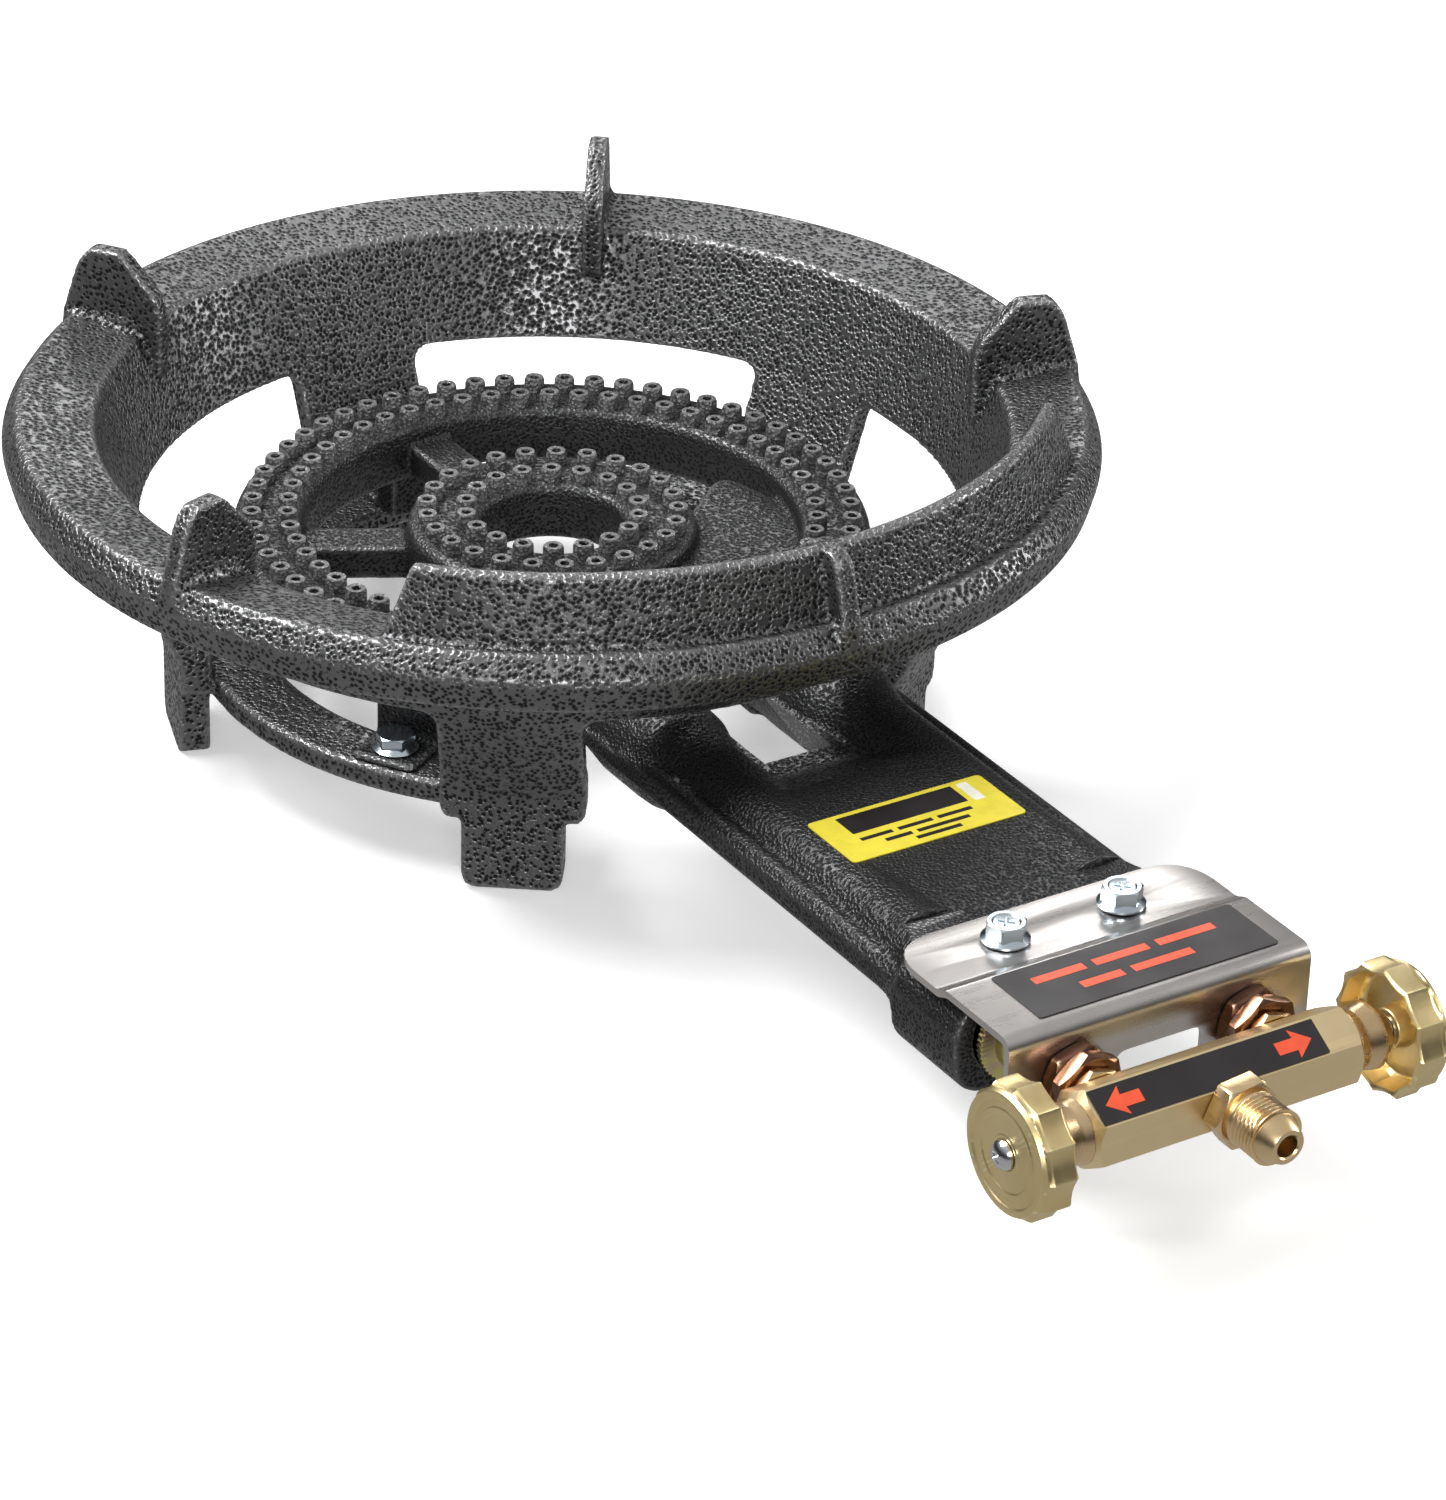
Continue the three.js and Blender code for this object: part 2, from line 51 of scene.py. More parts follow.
FRONT = -90  # the side that the arm leaves from, in degrees about the burner's axis
SUPPORTS = [FRONT + 72 * k for k in range(5)]
LEGS = [FRONT + 36 + 72 * k for k in range(5)]
BOLT_R, BOLT_ANGLES = 95.5, [90, -32, -148]  # bolts through the burner's lugs
TUBE_X, AXIS_Z = 27.5, 47.8  # mixer tubes; the manifold lies at the same height
MOUTH_Y, FLANGE_Y, BAR_Y = -279.5, -303.0, -327.0  # mixer mouths, back of the bracket's flange, manifold
SEAT_Z = 59.5  # the arm's top, where the label and the bracket sit
SCREW_X, SCREW_Y = 18.4, -261  # bracket screws
BAR_AF, BAR_END = 20, 42  # manifold: width across its flats and half its length
SHEET = 2.0  # thickness of the bracket's sheet
SIDES = [("left", -1), ("right", 1)]


# ------------------------------------------------------------------ shapes
def rot(axis, deg):
    return Matrix.Rotation(math.radians(deg), 4, axis)


def move(x, y, z):
    return Matrix.Translation((x, y, z))


def polar(r, deg):
    return r * math.cos(math.radians(deg)), r * math.sin(math.radians(deg))


ALONG_Y = rot("X", 90)  # heights run along -Y
NEARLY_STRAIGHT = 1.53  # half a corner's angle, in radians, from which it isn't rounded
ALONG_X = Matrix(((0, 0, 1, 0), (1, 0, 0, 0), (0, 1, 0, 0), (0, 0, 0, 1)))  # (y, z) outlines, heights along X


def on_tube(side):
    """Heights run out of a mixer tube's mouth."""
    return move(side * TUBE_X, 0, AXIS_Z) @ ALONG_Y


def on_bar(side):
    """Heights run from the manifold's middle out to one knob."""
    return move(0, BAR_Y, AXIS_Z) @ rot("Y", 90 * side)


def new_object(verts, faces, matrix=Matrix()):
    """A closed mesh with its faces turned outwards."""
    data = bpy.data.meshes.new("shape")
    data.from_pydata([matrix @ Vector(v) for v in verts], [], faces)
    bm = bmesh.new()
    bm.from_mesh(data)
    bmesh.ops.remove_doubles(bm, verts=bm.verts, dist=1e-5)
    bmesh.ops.recalc_face_normals(bm, faces=bm.faces)
    bm.to_mesh(data)
    bm.free()
    obj = bpy.data.objects.new("shape", data)
    bpy.context.scene.collection.objects.link(obj)
    return obj


def skinned(verts, rows, matrix):
    """The mesh that joins each ring of vertices to the next; a ring that is all one vertex closes an end."""
    faces = []
    for low, high in zip(rows, rows[1:]):
        for k in range(len(low)):
            n = (k + 1) % len(low)
            corners = [low[k], low[n], high[n], high[k]]
            corners = [c for i, c in enumerate(corners) if c != corners[i - 1]]
            if len(corners) > 2:
                faces.append(corners)
    return new_object(verts, faces, matrix)


def lathe(profile, segs=64, matrix=Matrix(), radius=None):
    """Profile of (radius, height) turned about Z. radius(r, z, angle) can change a radius round the turn."""
    verts, rows = [], []
    for r, z in profile:
        if r == 0:
            rows.append([len(verts)] * segs)
            verts.append((0, 0, z))
            continue
        rows.append([len(verts) + k for k in range(segs)])
        for k in range(segs):
            a = 2 * math.pi * k / segs
            reach = radius(r, z, a) if radius else r
            verts.append((reach * math.cos(a), reach * math.sin(a), z))
    if profile[0][0] or profile[-1][0]:
        rows.append(rows[0])
    return skinned(verts, rows, matrix)


def prism(points, z0, z1, matrix=Matrix()):
    """An outline drawn up from z0 to z1."""
    n = len(points)
    verts = [(x, y, z) for z in (z0, z1) for x, y in points]
    faces = [list(range(n)), list(range(n, 2 * n))]
    faces += [[k, (k + 1) % n, n + (k + 1) % n, n + k] for k in range(n)]
    return new_object(verts, faces, matrix)


def block(x0, x1, y0, y1, z0, z1, matrix=Matrix()):
    return prism([(x0, y0), (x1, y0), (x1, y1), (x0, y1)], z0, z1, matrix)


def fillet(corners, n=5):
    """The outline through (x, y, radius) corners, each rounded off by its radius with n steps."""
    points = [Vector(c[:2]) for c in corners]
    out = []
    for k, p in enumerate(points):
        radius = corners[k][2]
        a = points[k - 1] - p
        b = points[(k + 1) % len(points)] - p
        half = a.angle(b) / 2
        if radius <= 0 or half > NEARLY_STRAIGHT:
            out.append(tuple(p))
            continue
        reach = min(radius / math.tan(half), 0.48 * a.length, 0.48 * b.length)
        start, end = p + a.normalized() * reach, p + b.normalized() * reach
        for i in range(n + 1):
            t = i / n
            out.append(tuple((1 - t) ** 2 * start + 2 * t * (1 - t) * p + t * t * end))
    return out


def rectangle(x0, x1, y0, y1, radius=0, n=6):
    return fillet([(x0, y0, radius), (x1, y0, radius), (x1, y1, radius), (x0, y1, radius)], n)


def hex_solid(af, z0, z1, matrix=Matrix(), turn=0, bore=0, face=1.0, low=True, high=True, segs=96):
    """Hexagon of width af, its corners chamfered by a cone at the low and the high end, as a nut's are.

    face is the radius of the turned end face, as a share of half the width.
    """
    touch = af / 2 * face
    slope = math.tan(math.radians(30))
    angles = [2 * math.pi * k / segs for k in range(segs)]
    reach = [af / 2 / math.cos(math.radians((360 * k / segs - turn) % 60 - 30)) for k in range(segs)]
    drop = [max(0, r - touch) * slope for r in reach]
    ends = [min(r, touch) for r in reach]
    verts, rows = [], []

    def ring(radii, heights):
        rows.append([len(verts) + k for k in range(segs)])
        verts.extend((r * math.cos(a), r * math.sin(a), z) for r, a, z in zip(radii, angles, heights))

    def middle(z):
        if bore:
            ring([bore] * segs, [z] * segs)
        else:
            rows.append([len(verts)] * segs)
            verts.append((0, 0, z))

    middle(z0)
    if low:
        ring(ends, [z0] * segs)
    ring(reach, [z0 + d if low else z0 for d in drop])
    ring(reach, [z1 - d if high else z1 for d in drop])
    if high:
        ring(ends, [z1] * segs)
    middle(z1)
    if bore:
        rows.append(rows[0])
    return skinned(verts, rows, matrix)


def thread(r, z0, z1, pitch, matrix=Matrix(), depth=None, segs=56):
    """A solid rod with a helical thread cut in it, running out at both ends."""
    depth = depth or 0.54 * pitch
    steps = max(8, round((z1 - z0) / (pitch / 6)))

    def radius(reach, z, a):
        if reach < r:
            return reach
        phase = (z / pitch - a / (2 * math.pi)) % 1
        fade = min(1, (z - z0) / pitch, (z1 - z) / pitch)
        return r - depth * max(0, fade) * min(1, 1.5 * abs(2 * phase - 1))

    profile = [(0, z0)] + [(r, z0 + (z1 - z0) * k / steps) for k in range(steps + 1)] + [(0, z1)]
    return lathe(profile, segs, matrix, radius)


def applied(obj):
    """obj with its modifiers made real."""
    graph = bpy.context.evaluated_depsgraph_get()
    data = bpy.data.meshes.new_from_object(obj.evaluated_get(graph))
    old = obj.data
    obj.modifiers.clear()
    obj.data = data
    bpy.data.meshes.remove(old)
    return obj


def boolean(obj, tools, operation="DIFFERENCE"):
    """obj with each tool cut away, or what all of them have in common; the tools are used up."""
    for tool in tools:
        m = obj.modifiers.new("cut", "BOOLEAN")
        m.operation, m.solver, m.object = operation, "EXACT", tool
        applied(obj)
        bpy.data.objects.remove(tool)
    return obj


def joined(parts):
    """One mesh that holds all the parts, which are used up."""
    bm = bmesh.new()
    for p in parts:
        bm.from_mesh(p.data)
        bpy.data.objects.remove(p)
    data = bpy.data.meshes.new("shape")
    bm.to_mesh(data)
    bm.free()
    obj = bpy.data.objects.new("shape", data)
    bpy.context.scene.collection.objects.link(obj)
    return obj


def cast(parts, voxel, passes):
    """The parts as one casting: merged into one skin, with every edge and corner rounded off."""
    obj = joined(parts)
    m = obj.modifiers.new("skin", "REMESH")
    m.mode, m.voxel_size, m.use_smooth_shade = "VOXEL", voxel, True
    s = obj.modifiers.new("round", "SMOOTH")
    s.factor, s.iterations = 0.5, passes
    return applied(obj)


def soften(obj, width, segments=2, angle=32):
    """obj with its edges sharper than angle bevelled to width."""
    m = obj.modifiers.new("edges", "BEVEL")
    m.width, m.segments = width, segments
    m.limit_method, m.angle_limit = "ANGLE", math.radians(angle)
    m.use_clamp_overlap = True
    return applied(obj)


def piece(name, obj, material, body, nodes, sharp=28):
    """Names a finished shape, carries it into the frame and rides it on its body in place of its nodes."""
    obj.name = obj.data.name = name
    obj.data.transform(FRAME)
    obj.data.polygons.foreach_set("use_smooth", [True] * len(obj.data.polygons))
    obj.data.set_sharp_from_angle(angle=math.radians(sharp))
    obj.data.materials.clear()
    obj.data.materials.append(material)
    obj.data.update()
    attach(obj, body)
    if nodes:
        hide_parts(*nodes)


# ------------------------------------------------------------------ materials
class Nodes:
    """A Principled material and short ways to wire its nodes."""

    def __init__(self, name, metallic=0.0):
        self.material = bpy.data.materials.new(name)
        self.material.use_nodes = True
        self.tree = self.material.node_tree
        self.shader = self.tree.nodes["Principled BSDF"]
        self.shader.inputs["Metallic"].default_value = metallic
        self.place = self.tree.nodes.new("ShaderNodeTexCoord").outputs["Object"]

    def node(self, kind, inputs=None, **settings):
        n = self.tree.nodes.new(kind)
        for key, value in settings.items():
            setattr(n, key, value)
        for key, value in (inputs or {}).items():
            if isinstance(value, bpy.types.NodeSocket):
                self.tree.links.new(value, n.inputs[key])
            else:
                n.inputs[key].default_value = value
        return n

    def noise(self, scale, detail=2, roughness=0.5, distortion=0.0, at=None):
        inputs = {"Vector": at or self.place, "Scale": scale, "Detail": detail}
        inputs.update({"Roughness": roughness, "Distortion": distortion})
        return self.node("ShaderNodeTexNoise", inputs).outputs["Fac"]

    def stretched(self, x, y, z):
        """The place, with each direction scaled on its own."""
        inputs = {0: self.place, 1: (x, y, z)}
        return self.node("ShaderNodeVectorMath", inputs, operation="MULTIPLY").outputs[0]

    def ramp(self, fac, *stops):
        """Colour ramp through (position, colour or grey) stops."""
        n = self.node("ShaderNodeValToRGB", {"Fac": fac})
        elements = n.color_ramp.elements
        while len(elements) < len(stops):
            elements.new(0.5)
        for e, (at, color) in zip(elements, stops):
            e.position = at
            e.color = (*color, 1) if isinstance(color, tuple) else (color, color, color, 1)
        return n.outputs["Color"]

    def math(self, operation, a, b):
        return self.node("ShaderNodeMath", {0: a, 1: b}, operation=operation).outputs[0]

    def mix(self, fac, a, b, blend="MIX"):
        n = self.node("ShaderNodeMix", data_type="RGBA", blend_type=blend)
        for socket, value in ((n.inputs[0], fac), (n.inputs[6], a), (n.inputs[7], b)):
            if isinstance(value, bpy.types.NodeSocket):
                self.tree.links.new(value, socket)
            else:
                socket.default_value = (*value, 1) if isinstance(value, tuple) else value
        return n.outputs[2]

    def set(self, name, value):
        self.tree.links.new(value, self.shader.inputs[name])

    def wear_and_highlight_edges(self, start, full, amount):
        """Mask of the raised edges: from none where they are blunt (start) to amount where sharp (full). On
        metals it places real wear; on hammered paint it places a painted highlight.
        """
        edge = self.node("ShaderNodeNewGeometry").outputs["Pointiness"]
        return self.math("MULTIPLY", self.ramp(edge, (start, 0.0), (full, 1.0)), amount)

    def bump(self, height, strength, distance, normal=None):
        inputs = {"Height": height, "Strength": strength, "Distance": distance}
        if normal:
            inputs["Normal"] = normal
        return self.node("ShaderNodeBump", inputs).outputs["Normal"]


def hammered(name, pit, skin, crest_highlight, size):
    """Hammered paint: a lighter skin drawn back from round dark pits, with a painted highlight along raised
    edges.

    size is about the distance between two pits, in metres.
    """
    m = Nodes(name)
    m.shader.inputs["Specular IOR Level"].default_value = 0.25
    cells = m.node("ShaderNodeTexVoronoi", {"Vector": m.place, "Scale": 1 / size}).outputs["Distance"]
    ripple = m.noise(2.2 / size, 2, 0.55)
    height = m.math("ADD", cells, m.math("MULTIPLY", ripple, 0.5))
    cover = m.ramp(height, (0.6, 0.0), (0.66, 0.4), (0.76, 1.0))
    patches = m.ramp(m.noise(14, 3), (0.35, 0.75), (0.68, 1.0))
    color = m.mix(cover, pit, skin)
    # painted highlight: the crest colour laid on raised edges, standing in for the lamps' glints on the
    # iron's crests
    color = m.mix(m.wear_and_highlight_edges(0.505, 0.56, 0.55), color, crest_highlight)
    color = m.mix(1.0, color, patches, "MULTIPLY")
    m.set("Base Color", color)
    m.set("Roughness", m.ramp(cover, (0.0, 0.6), (1.0, 0.3)))
    m.set("Metallic", m.ramp(cover, (0.0, 0.1), (1.0, 0.85)))
    fine = m.bump(m.noise(2600, 2), 0.12, 0.0002)
    dish = m.ramp(height, (0.45, 0.0), (0.95, 1.0))
    m.set("Normal", m.bump(dish, 0.7, 0.3 * size, fine))
    return m.material


def metal(name, color, shade, roughness, streak=(1, 1, 1), grain=0.05, wear=0.0, tint=None):
    """Turned, cast or brushed metal: streaks along the tool's path, uneven tarnish and small dents."""
    m = Nodes(name, 1.0)
    lines = m.noise(260, 3, 0.6, 0.0, m.stretched(*streak))
    tarnish = m.noise(38, 3, 0.55, 0.6)
    base = m.mix(m.ramp(tarnish, (0.34, 0.0), (0.66, 1.0)), shade, color)
    if tint:
        spots = m.ramp(m.noise(75, 2, 0.5, 1.5), (0.5, 0.0), (0.68, 1.0))
        base = m.mix(m.math("MULTIPLY", spots, 0.6), base, tint)
    if wear:
        bright = tuple(min(1.0, c * 1.35) for c in color)
        base = m.mix(m.wear_and_highlight_edges(0.51, 0.58, wear), base, bright)
    m.set("Base Color", base)
    spread = m.math("ADD", m.math("MULTIPLY", lines, 0.16), m.math("MULTIPLY", tarnish, 0.12))
    m.set("Roughness", m.math("ADD", spread, roughness - 0.13))
    dents = m.bump(m.noise(420, 2), grain, 0.0003)
    m.set("Normal", m.bump(lines, grain, 0.00025, dents))
    return m.material


def film(name, color, roughness=0.32):
    """Printed plastic film with a faint ripple and rubbed ink."""
    m = Nodes(name)
    rub = m.ramp(m.noise(190, 4, 0.65), (0.3, 0.86), (0.6, 1.0))
    m.set("Base Color", m.mix(1.0, color, rub, "MULTIPLY"))
    m.set("Roughness", m.ramp(m.noise(60, 3), (0.3, roughness - 0.06), (0.7, roughness + 0.1)))
    m.set("Normal", m.bump(m.noise(120, 2), 0.08, 0.0002))
    return m.material


# the last colour of each iron is its painted highlight, laid on raised edges
STAND_IRON = hammered("stand_iron", (0.006, 0.006, 0.007), (0.2, 0.2, 0.203), (0.6, 0.6, 0.6), 0.00145)
BURNER_IRON = hammered(
    "burner_iron", (0.004, 0.004, 0.005), (0.075, 0.075, 0.077), (0.34, 0.34, 0.34), 0.0011)
STAINLESS = metal(
    "stainless", (0.62, 0.59, 0.57), (0.54, 0.51, 0.49), 0.28, streak=(0.06, 1.6, 1.6), grain=0.025)
ZINC = metal("zinc", (0.66, 0.74, 0.82), (0.46, 0.53, 0.6), 0.2, grain=0.06, wear=0.4)
YELLOW_ZINC = metal(
    "yellow_zinc", (0.62, 0.56, 0.2), (0.42, 0.44, 0.16), 0.3, grain=0.06, wear=0.3, tint=(0.5, 0.3, 0.34))
BRASS = metal(
    "brass", (0.9, 0.65, 0.38), (0.78, 0.54, 0.3), 0.32, streak=(0.12, 1.4, 1.4), grain=0.07, wear=0.5)
TURNED_BRASS = metal("turned_brass", (0.8, 0.59, 0.34), (0.64, 0.45, 0.24), 0.27, grain=0.06, wear=0.5)
KNOB_BRASS = metal("knob_brass", (0.88, 0.72, 0.4), (0.74, 0.58, 0.28), 0.36, grain=0.2, wear=0.5)
NUT_BRASS = metal(
    "nut_brass", (0.24, 0.13, 0.08), (0.11, 0.055, 0.035), 0.2, wear=0.6, tint=(0.28, 0.12, 0.1))
STEEL = metal("steel", (0.74, 0.74, 0.76), (0.5, 0.5, 0.53), 0.16, grain=0.04, wear=0.3)
RUBBER = film("packing_rubber", (0.02, 0.02, 0.02), 0.6)
YELLOW_FILM = film("yellow_film", (0.64, 0.54, 0.045))
WHITE_FILM = film("white_film", (0.7, 0.68, 0.58))
BLACK_FILM = film("black_film", (0.014, 0.011, 0.012))
RED_INK = film("red_ink", (0.75, 0.085, 0.03))


# ------------------------------------------------------------------ stand
HALF_SECTOR = 36  # half the angle between two legs, in degrees
LEG_HALF = 20.3  # half the width of the bowl that is left over each leg
LEG_FACES = (-113.8, -104.6)  # a leg's outer and inner face
SHIELD_HALF = 48.2  # half the angle that the flame shield covers, in degrees


def opening(angle, half, sections):
    """Wedge between two legs, its sides parallel to the legs' centre lines and half away from them.

    sections holds (height, how far the sides have drawn in).
    """
    far = 240
    x, y = polar(150, HALF_SECTOR)
    verts = []
    for z, inset in sections:
        apex = (half + inset) / math.sin(math.radians(HALF_SECTOR))
        verts += [(apex, 0, z), (apex + x, -y, z), (far, 0, z), (apex + x, y, z)]
    n = len(sections)
    faces = [[0, 1, 2, 3], [4 * n - 4, 4 * n - 3, 4 * n - 2, 4 * n - 1]]
    for i in range(0, 4 * (n - 1), 4):
        faces += [[i + k, i + (k + 1) % 4, i + 4 + (k + 1) % 4, i + 4 + k] for k in range(4)]
    return new_object(verts, faces, rot("Z", angle))


def pot_fin(outer_top, inner_top):
    """Outline of a pot support, (radius, height); its top runs between two heights."""
    return fillet([(159.8, 92, 0.5), (158.9, 101, 6), (153.4, 118.4, 12), (149.4, outer_top, 3.6),
                   (139.4, inner_top, 4.4), (127.4, 110, 9), (126.2, 104, 6), (126.4, 83.4, 2),
                   (136, 92, 0.5), (152, 94, 0.5)], 6)


def flame_shield():
    """Curved wall over the arm, with leaning ends."""
    shield = lathe(fillet([(132.4, 96, 0.5), (151.3, 99.4, 1), (151.4, 103.2, 6), (146.6, 120.6, 1.4),
                           (143.2, 120.6, 1.4), (141.6, 117, 1), (133.2, 98.6, 3)]), 160)
    ends = [polar(300, FRONT - SHIELD_HALF), polar(420, FRONT), polar(300, FRONT + SHIELD_HALF)]
    shield = boolean(shield, [prism([(0, 0), *ends], 90, 130)], "INTERSECT")
    for angle, turn in ((-SHIELD_HALF, 0), (SHIELD_HALF, 180)):
        at = rot("Z", angle) @ move(0, -142, 101.4) @ rot("Z", turn) @ ALONG_Y
        lean = prism([(0, 0), (-40, 0), (-40, 30), (9.5, 30)], -40, 40, at)
        shield = boolean(shield, [lean])
    return shield


def stand_casting():
    """Bowl, floor ring, legs, pot supports and flame shield, cast in one."""
    bowl = lathe(fillet([(107, 27.2, 1), (113.9, 27.2, 1), (114.1, 33, 8), (127.4, 64, 14), (137.6, 91, 5),
                         (152.2, 93.2, 1.6), (151.6, 84.6, 1.4), (157.4, 84.6, 1.6), (160.0, 94.4, 3.6),
                         (155.3, 101.6, 2.6), (133.1, 98.1, 2.2), (120.5, 66, 20), (107, 33, 10)]), 160)
    arch = [(20, 0), (61.5, 0), (63, 0.4), (64.4, 1.4), (65.4, 2.8), (66, 5)]
    bowl = boolean(bowl, [opening(a, LEG_HALF, arch) for a in SUPPORTS])
    floor_ring = lathe(rectangle(86, 105.7, 24.3, 31.4, 1.2, 5), 120)
    floor_ring = boolean(floor_ring, [opening(FRONT, 14.3, [(20, 0), (40, 0)])])
    parts = [bowl, floor_ring]
    for a in LEGS:
        at = rot("Z", a - 90) @ ALONG_Y
        parts.append(prism(rectangle(-14.4, 14.4, FEET_Z, 36, 5), *LEG_FACES, at))
        parts.append(prism(rectangle(-20.5, 20.5, 25.8, 42, 4.5), *LEG_FACES, at))
    foot = fillet([(134, 94, 0.5), (158.4, 94, 0.5), (157.4, 101.6, 0.5), (136, 101.6, 0.5)])
    for a in SUPPORTS:
        at = rot("Z", a) @ ALONG_Y
        fin = pot_fin(120.4, 119.9) if a == FRONT else pot_fin(122.8, 122.8)
        parts.append(prism(fin, 2.95, -2.95, at))
        parts.append(prism(foot, -3.8, 3.8, at))
    parts.append(flame_shield())
    return cast(parts, 0.85, 4)


def build_stand():
    piece("pot_stand", stand_casting(), STAND_IRON, "stand", ["stand_casting"], 180)


# ------------------------------------------------------------------ burner
ARM_HALF = 45.7  # half the arm's width at the mixer mouths
SPOKES = (152, 90, -150)  # bridges between the rings, in degrees
TUBE_END = {"left": 80, "right": 66}  # how far from the burner's axis a mixer tube ends
TUBE_LINE = [(MOUTH_Y, 17.2), (-268, 17.4), (-254, 16.8), (-243, 14.4), (-234, 13.0), (-205, 11.8),
             (-165, 11.8), (-132, 12.0), (-124, 13.6), (-118.5, 15.3), (-112, 15.6), (-96, 15.6)]
BORE_LINE = [(MOUTH_Y - 3, 13.2), (MOUTH_Y + 2, 12.7), (-262, 11.0), (-238, 9.6), (-205, 8.2), (-150, 8.2)]


def burner_ring(inner, outer):
    return lathe(fillet([(inner, 46.8, 1.5), (outer, 46.8, 1.5), (outer + 0.2, 58, 3),
                         (outer - 0.6, 64.2, 3.4), (inner + 0.6, 64.2, 3.4), (inner - 0.2, 58, 3)]), 120)


def turned_line(line):
    """(y, radius) points as the (radius, height) that on_tube takes."""
    return [(r, -y) for y, r in reversed(line)]


def burner_casting():
    """Two rings, their spokes and bolt lugs, and the arm with both mixer tubes, cast in one."""
    parts = [burner_ring(73, 94), burner_ring(20.7, 42.8)]
    for name, side in SIDES:
        end = TUBE_END[name]
        line = [(0, end), (13.6, end + 1), *turned_line(TUBE_LINE), (0, -MOUTH_Y)]
        parts.append(lathe(line, 64, on_tube(side)))
        bead = fillet([(-44.2, 45, 0.5), (-36, 45, 0.5), (-36, 50.4, 3), (-38.4, 53.4, 1.6),
                       (-41.6, 53.4, 1.6), (-44.2, 50.8, 2)], 4)
        parts.append(prism([(side * x, z) for x, z in bead], 110, 250, ALONG_Y))
    duct = fillet([(12.5, -92, 2), (42.5, -92, 2), (73, -20, 4), (66, 12, 6), (42, -8, 6), (30, -20, 8),
                   (14, -32, 3)])
    parts.append(prism(duct, 38, 58))
    for a in SPOKES:
        parts.append(block(38, 78, -7, 7, 48, 58, rot("Z", a)))
    web = fillet([(-88, 43, 0.5), (-136, 43, 4), (-150, 44, 4), (MOUTH_Y + 1, 44, 0.5),
                  (MOUTH_Y + 1, SEAT_Z, 0.5), (-164, SEAT_Z, 12), (-138, 48, 12), (-88, 48, 0.5)], 6)
    parts.append(prism(web, -27, 27, ALONG_X))
    plate = fillet([(-44, -84, 1), (-44, -242, 20), (-ARM_HALF, -251, 20), (-ARM_HALF, MOUTH_Y, 1),
                    (ARM_HALF, MOUTH_Y, 1), (ARM_HALF, -251, 20), (44, -242, 20), (44, -84, 1)], 6)
    parts.append(prism(plate, 44.4, 49.8))
    parts.append(prism(rectangle(-ARM_HALF, ARM_HALF, 30.8, SEAT_Z, 13), 249, -MOUTH_Y, ALONG_Y))
    for a in BOLT_ANGLES:
        parts.append(block(78, 88.5, -10, 10, 31.5, 49, rot("Z", a)))
        parts.append(prism(rectangle(80, 104, -10, 10, 3), 31.4, 33.5, rot("Z", a)))
    body = cast(parts, 0.8, 5)
    arm_window = block(-10.8, 10.8, -134, -89.5, 30, 72)
    bracket_seat = block(-60, 60, -290, -238, SEAT_Z, 80)
    bore = [(0, 150), *turned_line(BORE_LINE), (0, -MOUTH_Y + 3)]
    bores = [lathe(bore, 48, on_tube(side)) for _, side in SIDES]
    return boolean(body, [arm_window, bracket_seat, *bores])


def port(radius, deg):
    """One flame port: a short round nipple with a drilled hole."""
    return lathe([(0, 62.6), (3.15, 62.6), (3.1, 67.2), (2.75, 68.15), (1.5, 68.15), (1.25, 67.8), (1.25, 65),
                  (0, 65)], 20, move(*polar(radius, deg), 0))


def build_burner():
    piece("ring_burner", burner_casting(), BURNER_IRON, "stand", ["burner_casting"], 50)
    rows = [(77.6, 54, 0), (88, 60, 3), (25.6, 18, 0), (37, 25, 0)]  # (radius, ports, first angle)
    ports = joined([port(r, start + 360 * k / n) for r, n, start in rows for k in range(n)])
    piece("flame_ports", ports, BURNER_IRON, "stand", [], 40)


# ------------------------------------------------------------------ fasteners
def cross_recess(z0, z1, size, matrix):
    """Tapered cross that a screwdriver fits; size is half its width at the top."""
    half = size * 0.2
    faces = [[0, 1, 2, 3], [4, 5, 6, 7], [0, 1, 5, 4], [1, 2, 6, 5], [2, 3, 7, 6], [3, 0, 4, 7]]
    blade = [(-size, -half), (size, -half), (size, half), (-size, half)]
    verts = [(x * f, y * f, z) for z, f in ((z0, 0.35), (z1, 1.0)) for x, y in blade]
    return [new_object(verts, faces, matrix @ rot("Z", a)) for a in (45, 135)]


SCREW_AF, SHANK_R, SCREW_PITCH = 10, 2.95, 1.0  # the screws' head width, thread radius and pitch


def plate_screw(seat, at, turn):
    """Hexagon flange screw with a cross recess, threaded below its flange."""
    flange = lathe([(0, seat), (6.2, seat), (6.6, seat + 0.25), (6.6, seat + 0.75), (6.2, seat + 1.05),
                    (5.0, seat + 1.9), (0, seat + 1.9)], 72, at)
    top = seat + 5.5
    head = hex_solid(SCREW_AF, seat + 1.0, top, at, turn, low=False)
    dish = lathe([(0, top - 0.5), (3.4, top - 0.35), (4.1, top + 0.1), (4.1, top + 3), (0, top + 3)], 48, at)
    head = boolean(head, [dish] + cross_recess(top - 2.6, top + 0.6, 2.9, at))
    shank = thread(SHANK_R, 52, seat + 0.4, SCREW_PITCH, at, segs=32)
    return joined([flange, soften(head, 0.16), shank])


def lug_bolt(seat, at, turn):
    """Plain flange bolt, its head above the lug."""
    flange = lathe([(0, seat), (6.4, seat), (6.6, seat + 0.3), (5.2, seat + 1.5), (0, seat + 1.5)], 64, at)
    head = soften(hex_solid(SCREW_AF, seat + 0.8, seat + 4.6, at, turn, low=False), 0.2)
    shank = thread(SHANK_R, 24.9, seat + 0.4, SCREW_PITCH, at, segs=32)
    return joined([flange, head, shank])


